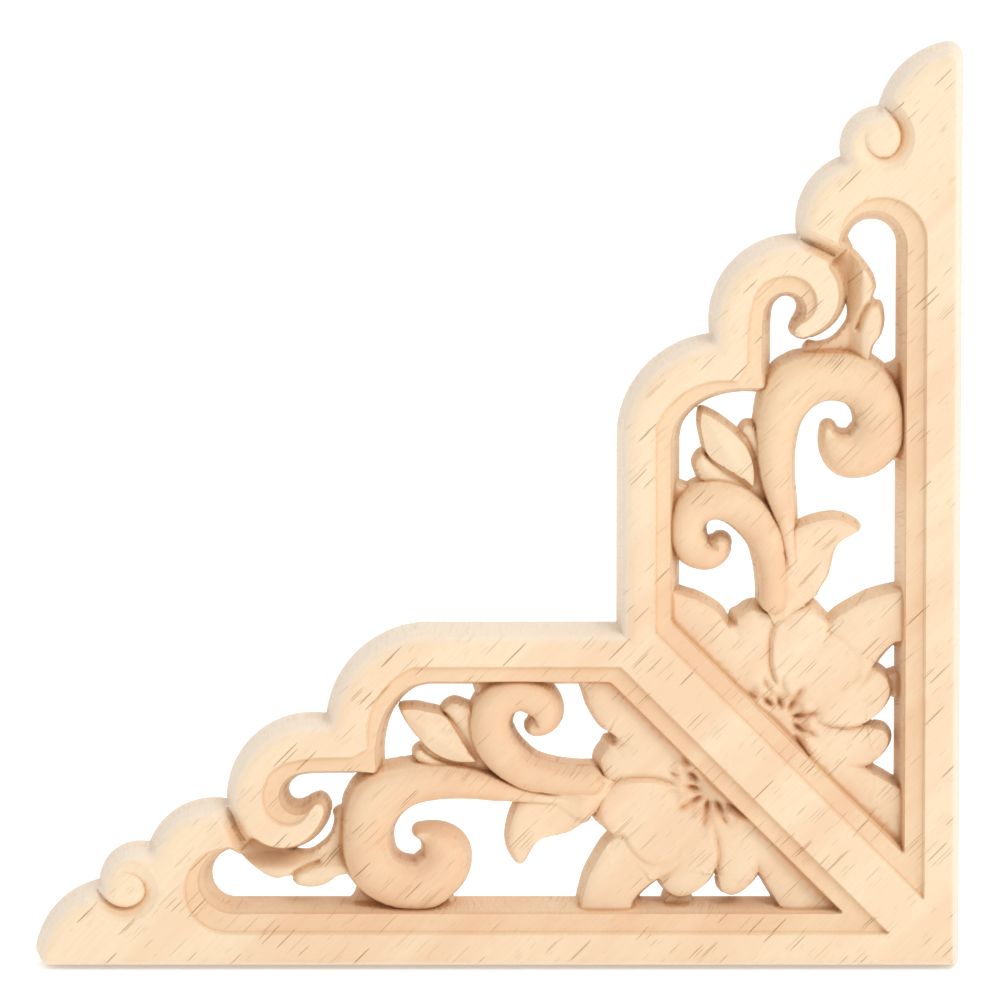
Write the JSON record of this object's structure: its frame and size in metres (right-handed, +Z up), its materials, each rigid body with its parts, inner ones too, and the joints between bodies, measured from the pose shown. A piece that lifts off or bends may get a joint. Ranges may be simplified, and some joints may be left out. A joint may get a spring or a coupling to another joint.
{
  "type": "carved wooden corner onlay",
  "caption": "Right-angled openwork corner onlay carved in light wood, with scalloped legs, scrolls, leaves and a flower on each side of a diagonal bar.",
  "frame": {"origin": "on the flat back face, where the centre lines of the two straight bars cross at the right-angled corner", "axes": "+Y out of the flat back towards the surface that carries it, -Y out of the carved face, +X to the right, +Z up; one leg runs along -X and the other along +Z"},
  "size_m": [0.15, 0.01, 0.15],
  "materials": {
    "onlay_wood": "raw sanded and gouged light hardwood, matt"
  },
  "bodies": {
    "root": {"corner_onlay": "onlay_wood"}
  },
  "joints": []
}
